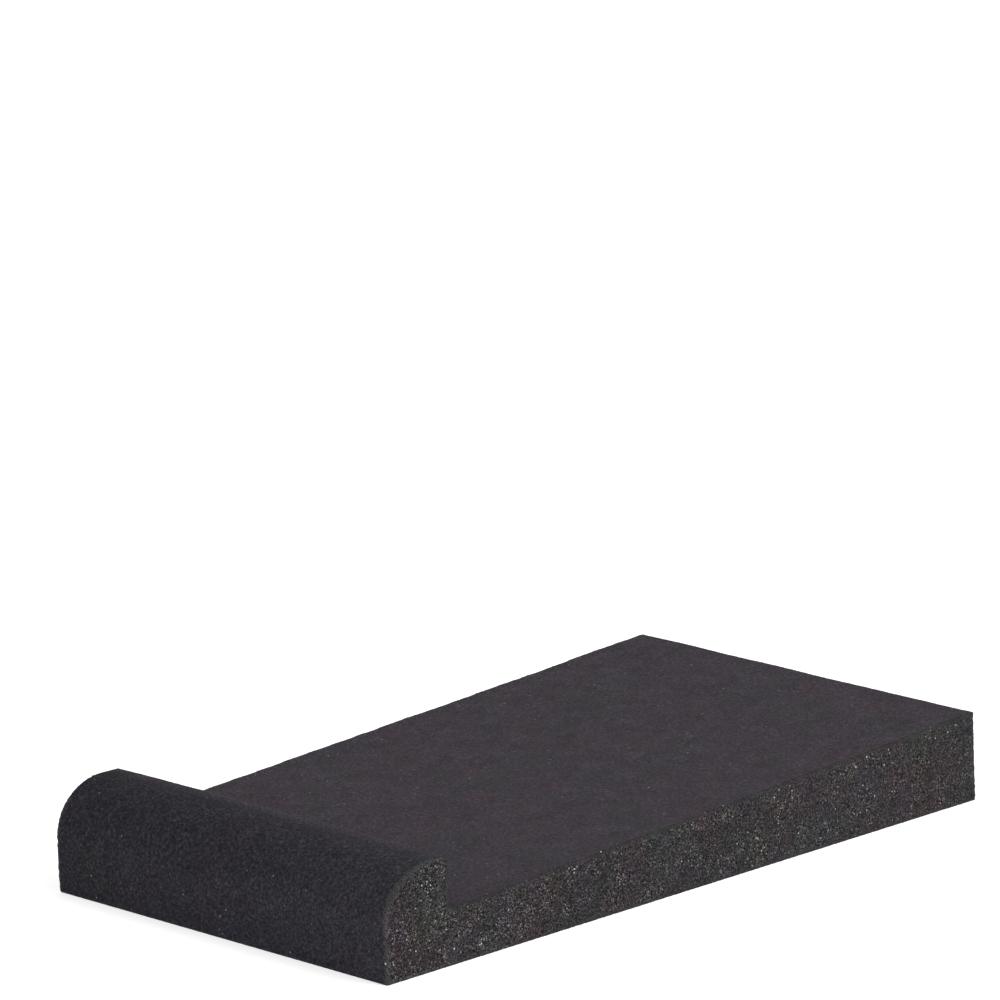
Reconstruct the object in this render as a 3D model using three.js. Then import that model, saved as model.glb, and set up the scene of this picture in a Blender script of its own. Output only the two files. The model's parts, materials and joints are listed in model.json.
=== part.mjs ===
// Isolation pad: one block of open-cell foam, cut to a single section along its whole width.
// A low platform slopes down to the front, where a raised lip with a rounded nose stops what
// stands on it from sliding off. Millimetres, +Z up. The origin is the middle of the underside,
// the width runs along X, and the lip is at the -Y end.

import * as THREE from "three";

// Driving dimensions
const padWidth = 172; // cut end to cut end, along X
const padLength = 290; // lip's front face to the back face, along Y
const lipHeight = 39.5; // underside to the flat top of the lip
const lipDepth = 30; // lip's front face to its rear face
const noseRadius = 22; // quarter round from the lip's front face over to its top
const platformFrontHeight = 20.2; // underside to platform, at the foot of the lip
const platformBackHeight = 33.2; // underside to platform, at the back face
const edgeRadius = 1; // softness of the wire-cut edges that run along X
const footRadius = 0.8; // fillet left by the wire in the corner under the lip

// How far a flat facet may stray from the true arc
const chordError = 0.015;

const foamColour = 0x3e3b3d;

// Corners of the section, in order round the outline, each with the radius of its round.
function sectionCorners() {
  const front = -padLength / 2;
  const back = padLength / 2;
  const lipRear = front + lipDepth;
  return [
    { y: front, z: 0, radius: edgeRadius },
    { y: back, z: 0, radius: edgeRadius },
    { y: back, z: platformBackHeight, radius: edgeRadius },
    { y: lipRear, z: platformFrontHeight, radius: footRadius },
    { y: lipRear, z: lipHeight, radius: edgeRadius },
    { y: front, z: lipHeight, radius: noseRadius },
  ];
}

// The arc that rounds one corner and is tangent to both of its sides.
function cornerArc(previous, corner, next) {
  const here = new THREE.Vector2(corner.y, corner.z);
  const toPrevious = new THREE.Vector2(previous.y, previous.z).sub(here).normalize();
  const toNext = new THREE.Vector2(next.y, next.z).sub(here).normalize();
  const halfAngle = Math.acos(toPrevious.dot(toNext)) / 2;
  const inward = toPrevious.clone().add(toNext).normalize();
  const centre = here.clone().addScaledVector(inward, corner.radius / Math.sin(halfAngle));

  const tangentLength = corner.radius / Math.tan(halfAngle);
  const start = here.clone().addScaledVector(toPrevious, tangentLength).sub(centre);
  const end = here.clone().addScaledVector(toNext, tangentLength).sub(centre);
  const clockwise = start.cross(end) < 0;
  const arc = new THREE.EllipseCurve(
    centre.x, centre.y, corner.radius, corner.radius, start.angle(), end.angle(), clockwise,
  );

  const turn = Math.PI - 2 * halfAngle;
  const facetAngle = 2 * Math.acos(1 - chordError / corner.radius);
  return arc.getPoints(Math.ceil(turn / facetAngle));
}

// The whole section, in the plane of Y and Z.
function padSection() {
  const corners = sectionCorners();
  const outline = corners.flatMap((corner, i) => {
    const previous = corners.at(i - 1);
    const next = corners[(i + 1) % corners.length];
    return cornerArc(previous, corner, next);
  });
  return new THREE.Shape(outline);
}

// The section is drawn in the shape's own plane and pushed out along its normal, so the
// geometry is turned to put the section in Y and Z with its thickness along X.
function padGeometry() {
  const geometry = new THREE.ExtrudeGeometry(padSection(), { depth: padWidth, bevelEnabled: false });
  const alongY = new THREE.Vector3(0, 1, 0);
  const alongZ = new THREE.Vector3(0, 0, 1);
  const alongX = new THREE.Vector3(1, 0, 0);
  geometry.translate(0, 0, -padWidth / 2);
  geometry.applyMatrix4(new THREE.Matrix4().makeBasis(alongY, alongZ, alongX));
  return geometry;
}

const foamMaterial = new THREE.MeshStandardMaterial({
  color: foamColour,
  roughness: 0.95,
  metalness: 0,
});

const foamPad = new THREE.Mesh(padGeometry(), foamMaterial);
foamPad.name = "foam_pad";

const isolationPad = new THREE.Group();
isolationPad.add(foamPad);

export default isolationPad;
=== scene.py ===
"""The looks of a foam isolation pad: a wire-cut block of open-cell foam, on a pale studio floor."""

import json
import math

import bmesh
import bpy
import numpy as np
from bpy.props import FloatProperty, FloatVectorProperty, IntProperty, PointerProperty
from mathutils import Matrix, Vector


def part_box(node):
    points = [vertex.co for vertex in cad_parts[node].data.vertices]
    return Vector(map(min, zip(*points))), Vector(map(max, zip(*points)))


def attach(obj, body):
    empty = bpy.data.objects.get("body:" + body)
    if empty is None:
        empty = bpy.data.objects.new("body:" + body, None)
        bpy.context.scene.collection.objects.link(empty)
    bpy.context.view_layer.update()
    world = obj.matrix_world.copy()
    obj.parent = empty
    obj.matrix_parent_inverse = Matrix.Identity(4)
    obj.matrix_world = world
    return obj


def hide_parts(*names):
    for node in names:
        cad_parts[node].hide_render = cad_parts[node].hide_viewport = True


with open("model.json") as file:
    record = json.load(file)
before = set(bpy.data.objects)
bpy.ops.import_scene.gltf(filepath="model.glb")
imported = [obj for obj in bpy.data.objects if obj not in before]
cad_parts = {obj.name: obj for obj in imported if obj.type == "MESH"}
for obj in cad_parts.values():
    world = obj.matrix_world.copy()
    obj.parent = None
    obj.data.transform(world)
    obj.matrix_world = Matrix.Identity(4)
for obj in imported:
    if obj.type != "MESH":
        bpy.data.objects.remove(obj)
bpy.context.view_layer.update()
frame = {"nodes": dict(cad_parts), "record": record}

bl_info = {
    "name": "Foam Isolation Pad",
    "version": (1, 0, 0),
    "blender": (4, 5, 0),
    "location": "3D Viewport > Sidebar > Isolation Pad",
    "description": "Models a wire-cut foam isolation pad and sets it on a studio floor",
    "category": "Add Mesh",
}

MM = 0.001
CLOSE = 0.01 * MM  # within this, two places are the same
NODE = "foam_pad"
LOW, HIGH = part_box(NODE)
MOUNTS = {mount["name"]: mount for mount in frame["record"]["mounts"]}


def near(value, other):
    return abs(value - other) < CLOSE


def platform_height(y):
    """Height of the sloping platform at y, from the frame's mount on it."""
    point, normal = MOUNTS["platform"]["pos_m"], MOUNTS["platform"]["axis"]
    return point[2] - (y - point[1]) * normal[1] / normal[2]


def nose_radius():
    """Radius of the lip's nose: what the frame leaves between its flat front and its top."""
    front = [v.co.z for v in frame["nodes"][NODE].data.vertices if near(v.co.y, LOW.y)]
    return HIGH.z - max(front)


LIP_REAR = MOUNTS["lip_rear_face"]["pos_m"][1]


class PadBlock(bpy.types.PropertyGroup):
    """The block's shape where the frame leaves it open."""

    nose_radius: FloatProperty(
        name="Nose Radius",
        description="Quarter round from the lip's front face over to its top",
        default=nose_radius(),
        unit="LENGTH",
    )
    edge_round: FloatProperty(
        name="Edge Round",
        description="Round along the block's cut edges",
        default=0.45 * MM,
        unit="LENGTH",
    )
    foot_round: FloatProperty(
        name="Foot Round",
        description="Round along the edges that stand on the floor",
        default=0.2 * MM,
        unit="LENGTH",
    )
    facet: FloatProperty(
        name="Facet",
        description="Width of the faces into which the cells are pressed, before they are thinned",
        default=0.6 * MM,
        unit="LENGTH",
    )
    triangles: IntProperty(
        name="Triangles",
        description="How many triangles the finished block keeps",
        default=196000,
    )
    wave_height: FloatProperty(
        name="Wave Height",
        description="How far the cutting wire wandered from the true surface",
        default=0.7 * MM,
        unit="LENGTH",
    )
    wave_length: FloatProperty(
        name="Wave Length",
        description="Size of the wire's wander",
        default=38 * MM,
        unit="LENGTH",
    )
    cell: FloatProperty(
        name="Cell",
        description="Width of the cells pressed into the surface",
        default=0.9 * MM,
        unit="LENGTH",
    )
    end_pit: FloatProperty(
        name="End Pit Depth",
        description="Depth of the open cells on the two cut ends",
        default=0.38 * MM,
        unit="LENGTH",
    )
    skin_pit: FloatProperty(
        name="Skin Pit Depth",
        description="Depth of the finer cells on the surfaces that the hot wire cut",
        default=0.16 * MM,
        unit="LENGTH",
    )


class PadFoam(bpy.types.PropertyGroup):
    """The foam's colours and finish."""

    end_colour: FloatVectorProperty(
        name="Cut End",
        description="Foam on the two cut ends",
        subtype="COLOR",
        default=(0.0320, 0.0287, 0.0301),
    )
    # The lip's cooler tint is the skin's own; its darker grey is partly painted shade, for the light
    # that the front and the lip's top miss.
    shaded_front_colour: FloatVectorProperty(
        name="Front",
        description="Foam on the lip, a cooler and darker grey",
        subtype="COLOR",
        default=(0.0262, 0.0251, 0.0314),
    )
    platform_colour: FloatVectorProperty(
        name="Platform",
        description="Foam on the platform, the back and the underside, a touch warmer",
        subtype="COLOR",
        default=(0.0545, 0.0462, 0.0562),
    )
    # The rim is lighter partly because its edge cells are smoother, and partly as a painted highlight
    # of the rounded edge.
    rim_and_highlight_colour: FloatVectorProperty(
        name="Rim",
        description="Foam along the edges of the cut ends, where rubbing has lightened it",
        subtype="COLOR",
        default=(0.0455, 0.0458, 0.0478),
    )
    warm_tint: FloatVectorProperty(
        name="Warm Tint",
        description="Multiplies the colour of the warmer patches",
        subtype="COLOR",
        default=(1.09, 0.95, 1.01),
        max=2.0,
    )
    cool_tint: FloatVectorProperty(
        name="Cool Tint",
        description="Multiplies the colour of the cooler patches",
        subtype="COLOR",
        default=(0.91, 1.04, 0.98),
        max=2.0,
    )
    blue_tint: FloatVectorProperty(
        name="Blue Tint",
        description="Multiplies the colour of the bluer patches",
        subtype="COLOR",
        default=(1.0, 0.99, 1.07),
        max=2.0,
    )
    amber_tint: FloatVectorProperty(
        name="Amber Tint",
        description="Multiplies the colour of the yellower patches",
        subtype="COLOR",
        default=(1.0, 1.01, 0.93),
        max=2.0,
    )
    end_grain: FloatProperty(
        name="End Grain",
        description="Contrast of the open cells on the cut ends, in doublings of brightness",
        default=2.6,
    )
    skin_grain: FloatProperty(
        name="Skin Grain",
        description="Contrast of the soft grain on the other surfaces, in doublings of brightness",
        default=3.3,
    )
    blotches: FloatProperty(
        name="Blotches",
        description="Contrast of the broad light and dark patches, in doublings of brightness",
        default=0.8,
    )
    # Painted light: the lip grows lighter toward its top and its right end, standing in for light
    # from the upper right.
    lip_painted_light: FloatProperty(
        name="Lip Painted Light",
        description="How much lighter the lip grows to its top and right, in doublings of brightness",
        default=0.35,
    )
    cell_width: FloatProperty(
        name="Cell Width",
        description="Width of the open cells in the foam's colour",
        default=0.8 * MM,
        unit="LENGTH",
    )
    wall_width: FloatProperty(
        name="Wall Width",
        description="Width of the bits of cell wall between the open cells",
        default=0.5 * MM,
        unit="LENGTH",
    )
    fuzz_width: FloatProperty(
        name="Fuzz Width",
        description="Width of the soft grain that the hot wire left",
        default=1.1 * MM,
        unit="LENGTH",
    )
    clump_width: FloatProperty(
        name="Clump Width",
        description="Size of the clumps in which the glints crowd together",
        default=6 * MM,
        unit="LENGTH",
    )
    blotch_width: FloatProperty(
        name="Blotch Width",
        description="Size of the broad light and dark patches",
        default=9 * MM,
        unit="LENGTH",
    )
    tint_width: FloatProperty(
        name="Tint Width",
        description="Size of the warmer and cooler patches",
        default=22 * MM,
        unit="LENGTH",
    )
    fine_tint_width: FloatProperty(
        name="Fine Tint Width",
        description="Size of the bluer and yellower patches",
        default=12 * MM,
        unit="LENGTH",
    )
    end_depth: FloatProperty(
        name="End Depth",
        description="How far the look of the cut ends reaches round their edges",
        default=0.6 * MM,
        unit="LENGTH",
    )
    # The rim's grain is calmer and its colour lighter, that lightness partly a painted highlight.
    rim_width: FloatProperty(
        name="Rim Width",
        description="Width of the worn rim of the cut ends",
        default=2.0 * MM,
        unit="LENGTH",
    )
    relief: FloatProperty(
        name="Relief",
        description="Depth of the pores and walls that are finer than the mesh",
        default=0.15 * MM,
        unit="LENGTH",
    )
    relief_strength: FloatProperty(
        name="Relief Strength",
        description="How strongly that relief bends the light",
        default=0.6,
        subtype="FACTOR",
    )
    glint_colour: FloatVectorProperty(
        name="Glint",
        description="Cell walls that catch the light",
        subtype="COLOR",
        default=(0.75, 0.73, 0.75),
    )
    glint_share: FloatProperty(
        name="Glint Share",
        description="Share of the cut ends' cells that hold a glint",
        default=0.09,
        subtype="FACTOR",
    )
    shine: FloatProperty(
        name="Shine",
        description="Strength of the foam's faint reflection",
        default=0.1,
        subtype="FACTOR",
    )
    roughness: FloatProperty(
        name="Roughness",
        description="Roughness of the foam",
        default=0.95,
        subtype="FACTOR",
    )


class PadStage(bpy.types.PropertyGroup):
    """The floor, the lights and the camera."""

    floor_colour: FloatVectorProperty(
        name="Floor",
        description="Pale studio floor",
        subtype="COLOR",
        default=(0.86, 0.86, 0.86),
    )
    floor_size: FloatProperty(
        name="Floor Size",
        description="Side of the square floor",
        default=16,
        unit="LENGTH",
    )
    floor_glow: FloatProperty(
        name="Floor Glow",
        description="Light that comes up through the floor, as on a light table",
        default=0.7,
    )
    air_light: FloatProperty(
        name="Air Light",
        description="Even light from all round",
        default=0.55,
    )
    key_power: FloatProperty(
        name="Key Light",
        description="Power of the large soft light at the right",
        default=45,
        unit="POWER",
    )
    key_size: FloatProperty(
        name="Key Light Size",
        description="Width of that light",
        default=1.6,
        unit="LENGTH",
    )
    key_place: FloatVectorProperty(
        name="Key Light Place",
        description="Where that light hangs",
        subtype="TRANSLATION",
        default=(2.0, 0.8, 2.2),
    )
    azimuth: FloatProperty(
        name="Camera Azimuth",
        description="How far the camera has gone round the pad from its front",
        default=math.radians(47.29),
        unit="ROTATION",
    )
    elevation: FloatProperty(
        name="Camera Elevation",
        description="How far the camera looks down",
        default=math.radians(14.14),
        unit="ROTATION",
    )
    roll: FloatProperty(
        name="Camera Roll",
        description="How far the picture leans",
        default=math.radians(-2.28),
        unit="ROTATION",
    )
    distance: FloatProperty(
        name="Camera Distance",
        description="From the camera to the pad, along the line of sight",
        default=2.967,
        unit="LENGTH",
    )
    focal_length: FloatProperty(
        name="Focal Length",
        description="Long lens of a product photograph",
        default=297.9,
        unit="CAMERA",
    )


PICTURE_SIDE = 1000  # pixels
PAD_IN_PICTURE = (523.0, 845.4)  # the pixel on which the middle of the pad's underside falls
SENSOR = 36  # width in millimetres
FAR = 50  # metres, how far the camera sees

FLOOR_ROUGHNESS = 0.8

# How the block is shaped and roughened
SHARP = math.radians(40)
EDGE_SEGMENTS = 4
NOSE_SEGMENTS = 24
CALM_HEIGHT = 6 * MM  # over which the wire's wander grows from nothing at the floor
END_SKIN = 0.3 * MM  # how far the deeper cells of a cut end reach from it
CHART_GAP = 4 * MM


class Value:
    """A number, colour or vector that a shader node gives. Arithmetic on it adds Math nodes."""

    def __init__(self, shader, socket):
        self.shader = shader
        self.socket = socket

    def __add__(self, other):
        return self.shader.math("ADD", self, other)

    def __sub__(self, other):
        return self.shader.math("SUBTRACT", self, other)

    def __rsub__(self, other):
        return self.shader.math("SUBTRACT", other, self)

    def __mul__(self, other):
        return self.shader.math("MULTIPLY", self, other)

    def __pow__(self, other):
        return self.shader.math("POWER", self, other)

    def __rpow__(self, other):
        return self.shader.math("POWER", other, self)

    __radd__ = __add__
    __rmul__ = __mul__


class Shader:
    """A material's node tree, built from expressions."""

    def __init__(self, name):
        self.material = bpy.data.materials.new(name)
        self.material.use_nodes = True
        self.tree = self.material.node_tree
        self.tree.nodes.clear()

    def node(self, kind, settings=None, inputs=None):
        """Adds a node: its settings first, then the values or links of its sockets."""
        node = self.tree.nodes.new("ShaderNode" + kind)
        for name, setting in (settings or {}).items():
            setattr(node, name, setting)
        for name, value in (inputs or {}).items():
            if isinstance(value, Value):
                self.tree.links.new(value.socket, node.inputs[name])
            else:
                node.inputs[name].default_value = value
        return node

    def value(self, kind, output, settings=None, inputs=None):
        """One output of a new node, as a Value."""
        return Value(self, self.node(kind, settings, inputs).outputs[output])

    def math(self, operation, *values):
        """A Math node on these values."""
        return self.value("Math", 0, {"operation": operation}, dict(enumerate(values)))

    def split(self, vector):
        """The three parts of a vector."""
        node = self.node("SeparateXYZ", inputs={"Vector": vector})
        return [Value(self, output) for output in node.outputs]

    def ramp(self, value, start, end):
        """0 below start and 1 above end, smoothly. It falls instead where start is above end."""
        ends = {"Value": value, "From Min": start, "From Max": end}
        return self.value("MapRange", "Result", {"interpolation_type": "SMOOTHSTEP"}, ends)

    def noise(self, place, size, detail=1.0):
        """Soft noise whose lumps have this size, around a half."""
        inputs = {"Vector": place, "Scale": 1 / size, "Detail": detail}
        return self.value("TexNoise", "Fac", inputs=inputs)

    def cells(self, place, width):
        """Foam cells of this width: the distance from the nearest centre, and a random vector."""
        node = self.node("TexVoronoi", inputs={"Vector": place, "Scale": 1 / width})
        return Value(self, node.outputs["Distance"]), Value(self, node.outputs["Color"])

    def mix(self, share, first, second, blend="MIX"):
        """From the first colour to the second, or their blend."""
        settings = {"data_type": "RGBA", "blend_type": blend}
        return self.value("Mix", 2, settings, {0: share, 6: first, 7: second})

    def scaled(self, colour, factor):
        """A colour times a number."""
        grey = self.value("CombineXYZ", 0, inputs={"X": factor, "Y": factor, "Z": factor})
        return self.mix(1.0, colour, grey, "MULTIPLY")

    def surface(self, **inputs):
        """Ends the tree in a Principled surface with these inputs."""
        surface = self.node("BsdfPrincipled", inputs=inputs)
        output = self.node("OutputMaterial")
        self.tree.links.new(surface.outputs["BSDF"], output.inputs["Surface"])
        return self.material


def rgba(colour):
    """The colour, opaque."""
    return (*colour, 1.0)


def outline_depth(shader, y, z, radius):
    """How deep a point of the cut end lies inside the outline of the block's section."""
    ahead = shader.math("MAXIMUM", LOW.y + radius - y, 0)
    above = shader.math("MAXIMUM", z - (HIGH.z - radius), 0)
    nose = radius - (ahead * ahead + above * above) ** 0.5
    slope = (platform_height(HIGH.y) - platform_height(0)) / HIGH.y
    seat = shader.math("MAXIMUM", LIP_REAR - y, platform_height(0) + y * slope - z)
    depth = shader.math("MINIMUM", nose, seat)
    depth = shader.math("MINIMUM", depth, HIGH.y - y)
    return shader.math("MINIMUM", depth, z - LOW.z)


# Where each pattern of the foam fades in: the start and the end of its ramp. Those of the cells
# run outwards from a cell's middle, in cell widths.
CLUMP_FADE = (0.4, 0.65)
PORE_FADE = (0.15, 0.55)
GLINT_FADE = (0.6, 0.25)
SHADE_FADE = (0.4, 0.65)
FLASH_FADE = (0.86, 1.0)
TINT_FADE = (0.3, 0.7)

# What each pattern multiplies, from where it is 0 to where it is 1.
WALL_CONTRAST = (0.4, 1.6)
CLUMP_CONTRAST = (0.75, 1.2)
BACK_CONTRAST = (1.12, 0.88)
RIM_CONTRAST = (1.0, 0.4)
# RIM_ON_PLATFORM: the rim's lighter colour, partly a painted highlight, is weaker along the platform.
RIM_ON_PLATFORM = (1.0, 0.3)
PLATFORM_CONTRAST = (1.0, 0.6)
GLINT_CROWD = (0.25, 1.25)
GLINT_BRIGHTNESS = (0.06, 1.0)
END_GLINT = (0.3, 1.0)
END_TINT = (0.5, 1.0)

# Doublings of brightness, before the foam's own contrast, and shares
PORE_LEVEL = 0.85  # of the pores, where they leave the brightness as it is
# PORE_SHADE darkens the pores: painted shade in the open cells.
PORE_SHADE = 0.9
# FLASH lightens the brightest bits of wall: painted highlights.
FLASH = 0.4
GLINT_SHADE = 1.2
WALL_IN_SKIN = 1.1
WALL_IN_RELIEF = 0.5
SKIN_GLINTS = 0.1


def between(share, ends):
    """The first of the two ends where the share is 0, and the second where it is 1."""
    return ends[0] + share * (ends[1] - ends[0])


def end_texture(shader, foam, pore, wall, crowd):
    """Grain of the cut ends, in doublings of brightness: dark pores, their darkness painted shade in
    the open cells, walls of every shade, and flashes of painted highlight on the brightest bits of
    wall.
    """
    tone, weight, flash = shader.split(wall)
    shades = (tone - 0.5) * between(weight, WALL_CONTRAST)
    pores = (pore - PORE_LEVEL) * PORE_SHADE
    flashes = shader.ramp(flash, *FLASH_FADE) * FLASH
    return (shades + pores + flashes) * between(crowd, CLUMP_CONTRAST) * foam.end_grain


def skin_texture(shader, foam, place, tone, platform):
    """Grain of the surfaces that the hot wire cut, in doublings of brightness."""
    fuzz = (shader.noise(place, foam.fuzz_width) - 0.5) * foam.skin_grain
    return (fuzz + (tone - 0.5) * WALL_IN_SKIN) * between(platform, PLATFORM_CONTRAST)


def glints(shader, foam, cells, crowd, end, rim):
    """How brightly cell walls catch the light, and the shade of the cells round them."""
    distance, chances = cells
    chance, spark, _ = shader.split(chances)
    on_end = end * between(crowd, GLINT_CROWD) * between(rim, RIM_CONTRAST)
    share = (on_end + SKIN_GLINTS) * foam.glint_share
    lit = shader.math("GREATER_THAN", chance, 1.0 - share)
    strength = between(spark ** 3.0, GLINT_BRIGHTNESS) * between(end, END_GLINT)
    glint = lit * strength * shader.ramp(distance, *GLINT_FADE)
    return glint, lit * shader.ramp(distance, *SHADE_FADE)


def tinted(shader, foam, place, body, strength):
    """The body colour with its broad warm, cool, blue and amber patches."""
    for width, one, other in (
        (foam.tint_width, foam.cool_tint, foam.warm_tint),
        (foam.fine_tint_width, foam.blue_tint, foam.amber_tint),
    ):
        share = shader.ramp(shader.noise(place, width, 2.0), *TINT_FADE)
        tint = shader.mix(share, rgba(one), rgba(other))
        body = shader.mix(strength, body, tint, "MULTIPLY")
    return body


def foam_material(block, foam):
    """Charcoal open-cell foam: glittery and coarse on the cut ends, finer where the hot wire ran."""
    shader = Shader("charcoal_foam")
    place = shader.value("TexCoord", "Object")
    x, y, z = shader.split(place)

    # Masks of the cut ends, of the rim round them, and of all the rest but the lip
    from_end = HIGH.x - shader.math("ABSOLUTE", x)
    end = shader.ramp(from_end, foam.end_depth * 2, foam.end_depth)
    depth = outline_depth(shader, y, z, block.nose_radius)
    rim = shader.ramp(depth + from_end * 1.5, foam.rim_width, foam.rim_width * 0.3)
    underside = shader.ramp(z, LOW.z + block.skin_pit, LOW.z + block.skin_pit / 2)
    behind_nose = shader.ramp(y, LOW.y + block.nose_radius, LIP_REAR)
    platform = shader.math("MAXIMUM", behind_nose, underside)

    crowd = shader.ramp(shader.noise(place, foam.clump_width), *CLUMP_FADE)
    cells = shader.cells(place, foam.cell_width)
    pore = shader.ramp(cells[0], *PORE_FADE)
    wall = shader.cells(place, foam.wall_width)[1]
    tone = shader.split(wall)[0]
    glint, shade = glints(shader, foam, cells, crowd, end, rim)

    # Brightness, in doublings
    coarse = end_texture(shader, foam, pore, wall, crowd) - shade * GLINT_SHADE
    toward_back = shader.ramp(y, LOW.y, HIGH.y)
    coarse = coarse * between(toward_back, BACK_CONTRAST) * between(rim, RIM_CONTRAST)
    soft = skin_texture(shader, foam, place, tone, platform)
    grain = soft + (coarse - soft) * end
    blotch = (shader.noise(place, foam.blotch_width, 2.0) - 0.5) * foam.blotches
    size = HIGH - LOW
    # Painted light: lighter toward the lip's top and right, as if lit from the upper right; none on
    # the cut ends or the platform.
    painted_lip_light = (x * (1 / size.x) + z * (1 / size.z) - 0.5) * (1.0 - end) * (1.0 - platform)
    brightness = 2.0 ** (grain + blotch + painted_lip_light * foam.lip_painted_light)

    # The lip's colour, darkened partly by painted shade, fades into the platform's over the lip's
    # top.
    skin = shader.mix(platform, rgba(foam.shaded_front_colour), rgba(foam.platform_colour))
    body = shader.mix(end, skin, rgba(foam.end_colour))
    # The rim's lighter colour: partly its smoother edge cells, partly a painted highlight of the
    # rounded edge, weaker along the platform.
    brightened = rim * between(platform, RIM_ON_PLATFORM)
    body = shader.mix(brightened, body, rgba(foam.rim_and_highlight_colour))
    body = tinted(shader, foam, place, body, between(end, END_TINT))
    colour = shader.mix(glint, shader.scaled(body, brightness), rgba(foam.glint_colour))

    relief = {
        "Height": pore + tone * WALL_IN_RELIEF,
        "Strength": foam.relief_strength,
        "Distance": foam.relief,
    }
    return shader.surface(
        **{
            "Base Color": colour,
            "Roughness": foam.roughness,
            "Specular IOR Level": foam.shine,
            "Normal": shader.value("Bump", "Normal", inputs=relief),
        }
    )


def in_edit_mode(piece, kind, wanted):
    """Selects the piece's vertices, edges or faces that pass a test of their place, in edit mode."""
    bpy.ops.object.mode_set(mode="EDIT")
    bpy.ops.mesh.select_mode(type={"verts": "VERT", "edges": "EDGE", "faces": "FACE"}[kind])
    bpy.ops.mesh.select_all(action="DESELECT")
    mesh = bmesh.from_edit_mesh(piece.data)
    for element in getattr(mesh, kind):
        element.select = wanted(element)
    mesh.select_flush_mode()
    bmesh.update_edit_mesh(piece.data)


def round_edges(piece, radius, on_floor):
    """Rounds the sharp edges that lie on the floor, or those that don't."""

    def wanted(edge):
        low = all(near(v.co.z, LOW.z) for v in edge.verts)
        return low == on_floor and edge.calc_face_angle(0) > SHARP

    in_edit_mode(piece, "edges", wanted)
    bpy.ops.mesh.bevel(offset=radius, segments=EDGE_SEGMENTS, affect="EDGES")


def cut_block(block):
    """The block with sharp edges: the platform's wedge, with the lip drawn up from its front."""
    foot, back = platform_height(LIP_REAR), platform_height(HIGH.y)
    size = HIGH - LOW
    bpy.ops.object.select_all(action="DESELECT")
    bpy.ops.mesh.primitive_cube_add(
        size=1, location=(0, 0, foot / 2), scale=(size.x, size.y, foot)
    )
    piece = bpy.context.object
    piece.name = "foam_block"
    bpy.ops.object.transform_apply(location=True, rotation=True, scale=True)

    in_edit_mode(piece, "faces", lambda face: True)
    bpy.ops.mesh.bisect(plane_co=(0, LIP_REAR, 0), plane_no=(0, 1, 0))
    in_edit_mode(piece, "verts", lambda v: near(v.co.z, foot) and near(v.co.y, HIGH.y))
    bpy.ops.transform.translate(value=(0, 0, back - foot))

    def lip_top(face):
        centre = face.calc_center_median()
        return face.normal.z > 0.9 and centre.y < LIP_REAR

    in_edit_mode(piece, "faces", lip_top)
    lift = {"value": (0, 0, HIGH.z - foot)}
    bpy.ops.mesh.extrude_region_move(TRANSFORM_OT_translate=lift)

    def nose_edge(edge):
        return all(near(v.co.y, LOW.y) and near(v.co.z, HIGH.z) for v in edge.verts)

    in_edit_mode(piece, "edges", nose_edge)
    bpy.ops.mesh.bevel(offset=block.nose_radius, segments=NOSE_SEGMENTS, affect="EDGES")
    round_edges(piece, block.edge_round, on_floor=False)
    round_edges(piece, block.foot_round, on_floor=True)
    bpy.ops.object.mode_set(mode="OBJECT")
    return piece


def apply_modifier(piece, kind, settings):
    """Adds a modifier with these settings and applies it."""
    modifier = piece.modifiers.new(kind.lower(), kind)
    for name, setting in settings.items():
        setattr(modifier, name, setting)
    bpy.ops.object.modifier_apply(modifier=modifier.name)


def values_of(elements, name, width=1):
    """One property of all of a mesh's elements, as an array."""
    values = np.empty(len(elements) * width, np.float32 if width > 1 else np.int32)
    elements.foreach_get(name, values)
    return values.reshape(-1, width) if width > 1 else values


def unfold(piece):
    """Lays the block's sides out flat, beside each other, as the map that a bake may use."""
    mesh = piece.data
    width, length, height = (side + CHART_GAP for side in HIGH - LOW)
    extent = 2 * (width + height)
    normals = values_of(mesh.polygons, "normal", 3)
    centres = values_of(mesh.polygons, "center", 3)
    facing = np.argmax(np.abs(normals), axis=1)
    ahead = normals[np.arange(len(normals)), facing] > 0
    rear = centres[:, 1] > 0
    # Each side's faces, the two axes along which it is laid out, and its place on the map
    charts = (
        ((facing == 2) & ~ahead, (0, 1), (0, 0)),
        ((facing == 2) & ahead, (0, 1), (width, 0)),
        ((facing == 1) & ~ahead, (0, 2), (0, length)),
        ((facing == 1) & ahead & ~rear, (0, 2), (width, length)),
        ((facing == 1) & ahead & rear, (0, 2), (width, length + height)),
        ((facing == 0) & ~ahead, (2, 1), (2 * width, 0)),
        ((facing == 0) & ahead, (2, 1), (2 * width + height, 0)),
    )
    loop_faces = np.repeat(np.arange(len(mesh.polygons)), values_of(mesh.polygons, "loop_total"))
    corners = values_of(mesh.vertices, "co", 3)[values_of(mesh.loops, "vertex_index")]
    corners -= np.array(LOW) - CHART_GAP / 2
    flat = np.empty((len(corners), 2), np.float32)
    for faces, axes, offset in charts:
        chosen = faces[loop_faces]
        flat[chosen] = corners[chosen][:, axes] + np.array(offset)
    mesh.uv_layers.new(name="OFBake").uv.foreach_set("vector", (flat / extent).ravel())


def vertex_group(piece, name, weights):
    """A vertex group from one weight for each vertex, in tenths."""
    group = piece.vertex_groups.new(name=name)
    tenths = np.rint(np.clip(weights, 0, 1) * 10).astype(int)
    for tenth in range(1, 11):
        members = np.flatnonzero(tenths == tenth)
        if len(members):
            group.add(members.tolist(), tenth / 10, "REPLACE")
    return group.name


def texture(name, kind, size):
    """A texture to displace by, whose pattern has this size."""
    made = bpy.data.textures.new(name, kind)
    made.noise_scale = size
    return made


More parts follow.
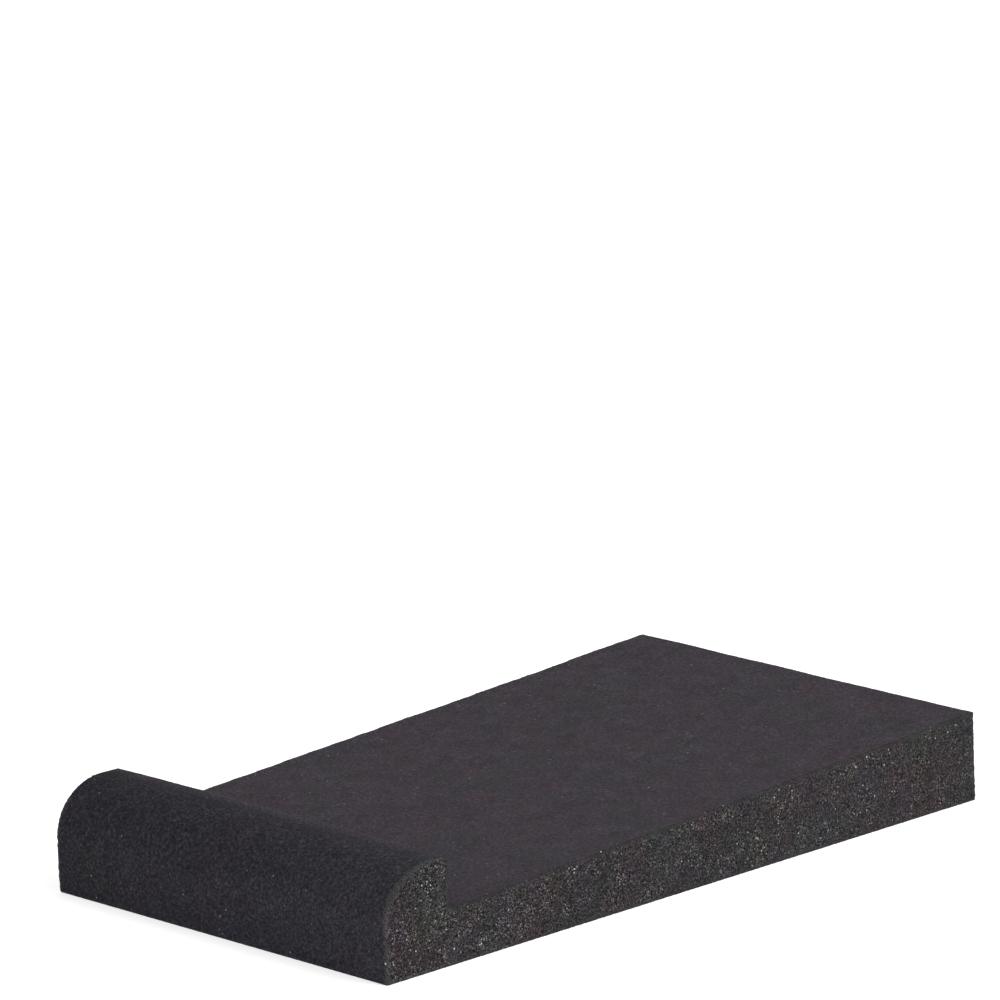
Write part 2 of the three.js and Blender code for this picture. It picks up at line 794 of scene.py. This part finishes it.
def roughen(piece, block):
    """Gives the smooth block its foam surface: the wire's wander and the open cells."""
    apply_modifier(piece, "REMESH", {"mode": "VOXEL", "voxel_size": block.facet})
    places = values_of(piece.data.vertices, "co", 3)
    lifted = vertex_group(piece, "lifted", (places[:, 2] - LOW.z) / CALM_HEIGHT)
    at_end = HIGH.x - np.abs(places[:, 0]) < END_SKIN
    ends = vertex_group(piece, "cut_ends", at_end.astype(float))
    skins = vertex_group(piece, "skins", (~at_end).astype(float))

    wander = texture("wire_wander", "CLOUDS", block.wave_length)
    wander.noise_depth = 1
    cells = texture("foam_cells", "VORONOI", block.cell)
    for layer, depth, group in (
        (wander, block.wave_height, lifted),
        (cells, block.end_pit, ends),
        (cells, block.skin_pit, skins),
    ):
        apply_modifier(
            piece,
            "DISPLACE",
            {
                "texture": layer,
                "texture_coords": "LOCAL",
                "strength": depth,
                "vertex_group": group,
            },
        )
    piece.vertex_groups.clear()


def thin(piece, triangles):
    """Joins faces where the surface can spare them, down to this many triangles."""
    mesh = piece.data
    share = triangles / (len(mesh.loops) - 2 * len(mesh.polygons))
    apply_modifier(piece, "DECIMATE", {"ratio": share})


def settle(piece):
    """Presses flat what would pass through the floor."""
    vertices = piece.data.vertices
    places = values_of(vertices, "co", 3)
    places[:, 2] = np.maximum(places[:, 2], LOW.z)
    vertices.foreach_set("co", places.ravel())
    piece.data.update()


class ISOLATION_PAD_OT_foam_block(bpy.types.Operator):
    """Models the foam block with its lip and sloping platform"""

    bl_idname = "isolation_pad.foam_block"
    bl_label = "Foam Block"
    bl_options = {"REGISTER", "UNDO"}

    def execute(self, context):
        block = context.scene.pad_block
        piece = cut_block(block)
        roughen(piece, block)
        thin(piece, block.triangles)
        settle(piece)
        unfold(piece)
        bpy.ops.object.shade_smooth()
        piece.data.materials.append(foam_material(block, context.scene.pad_foam))
        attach(piece, "root")
        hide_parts(NODE)
        return {"FINISHED"}


def floor_material(stage):
    """A pale, matt light table."""
    return Shader("studio_floor").surface(
        **{
            "Base Color": rgba(stage.floor_colour),
            "Roughness": FLOOR_ROUGHNESS,
            "Emission Color": rgba(stage.floor_colour),
            "Emission Strength": stage.floor_glow,
        }
    )


def aim(item, place, target):
    """Puts an item at a place, looking at the target."""
    item.location = place
    item.rotation_euler = (Vector(target) - Vector(place)).to_track_quat("-Z", "Y").to_euler()


def soft_light(name, place, size, power):
    """A round soft light that shines at the pad."""
    bpy.ops.object.light_add(type="AREA", location=place)
    light = bpy.context.object
    light.name = name
    light.data.shape = "DISK"
    light.data.size = size
    light.data.energy = power
    aim(light, place, (0, 0, 0))


def studio_camera(stage):
    """A camera that sees the pad where the picture shows it."""
    azimuth, elevation, roll = stage.azimuth, stage.elevation, stage.roll
    forward = Vector(
        (
            -math.sin(azimuth) * math.cos(elevation),
            math.cos(azimuth) * math.cos(elevation),
            -math.sin(elevation),
        )
    )
    level = Vector((math.cos(azimuth), math.sin(azimuth), 0))
    upright = level.cross(forward)
    right = level * math.cos(roll) + upright * math.sin(roll)
    up = upright * math.cos(roll) - level * math.sin(roll)

    pixels_per_slope = stage.focal_length / SENSOR * PICTURE_SIDE
    slope_right = (PAD_IN_PICTURE[0] - PICTURE_SIDE / 2) / pixels_per_slope
    slope_down = (PAD_IN_PICTURE[1] - PICTURE_SIDE / 2) / pixels_per_slope
    sight = forward + right * slope_right - up * slope_down

    bpy.ops.object.camera_add()
    camera = bpy.context.object
    camera.name = "studio_camera"
    axes = Matrix((right, up, -forward)).transposed()
    camera.matrix_world = Matrix.Translation(-sight * stage.distance) @ axes.to_4x4()
    camera.data.sensor_width = SENSOR
    camera.data.lens = stage.focal_length
    camera.data.clip_end = FAR
    return camera


class ISOLATION_PAD_OT_stage(bpy.types.Operator):
    """Sets the floor, the soft lights and the camera"""

    bl_idname = "isolation_pad.stage"
    bl_label = "Studio"
    bl_options = {"REGISTER", "UNDO"}

    def execute(self, context):
        stage = context.scene.pad_stage
        bpy.ops.object.select_all(action="DESELECT")
        bpy.ops.mesh.primitive_plane_add(size=stage.floor_size, location=(0, 0, LOW.z))
        floor = context.object
        floor.name = "studio_floor"
        floor.data.materials.append(floor_material(stage))

        world = bpy.data.worlds.new("studio_air")
        world.use_nodes = True
        background = world.node_tree.nodes["Background"]
        background.inputs["Color"].default_value = (1, 1, 1, 1)
        background.inputs["Strength"].default_value = stage.air_light
        context.scene.world = world

        soft_light("key_light", stage.key_place, stage.key_size, stage.key_power)
        context.scene.camera = studio_camera(stage)
        context.scene.view_settings.view_transform = "Standard"
        return {"FINISHED"}


class VIEW3D_PT_isolation_pad(bpy.types.Panel):
    """The pad's settings and the steps that build it"""

    bl_label = "Isolation Pad"
    bl_space_type = "VIEW_3D"
    bl_region_type = "UI"
    bl_category = "Isolation Pad"

    def draw(self, context):
        layout = self.layout
        layout.use_property_split = True
        for settings, operator in (
            ("pad_block", ISOLATION_PAD_OT_foam_block),
            ("pad_foam", None),
            ("pad_stage", ISOLATION_PAD_OT_stage),
        ):
            group = getattr(context.scene, settings)
            for name in group.__annotations__:
                layout.prop(group, name)
            if operator:
                layout.operator(operator.bl_idname)


CLASSES = (
    PadBlock,
    PadFoam,
    PadStage,
    ISOLATION_PAD_OT_foam_block,
    ISOLATION_PAD_OT_stage,
    VIEW3D_PT_isolation_pad,
)


def register():
    for cls in CLASSES:
        bpy.utils.register_class(cls)
    bpy.types.Scene.pad_block = PointerProperty(type=PadBlock)
    bpy.types.Scene.pad_foam = PointerProperty(type=PadFoam)
    bpy.types.Scene.pad_stage = PointerProperty(type=PadStage)


def unregister():
    del bpy.types.Scene.pad_stage
    del bpy.types.Scene.pad_foam
    del bpy.types.Scene.pad_block
    for cls in reversed(CLASSES):
        bpy.utils.unregister_class(cls)


def main():
    register()
    bpy.ops.isolation_pad.foam_block()
    bpy.ops.isolation_pad.stage()


if __name__ == "__main__":
    main()
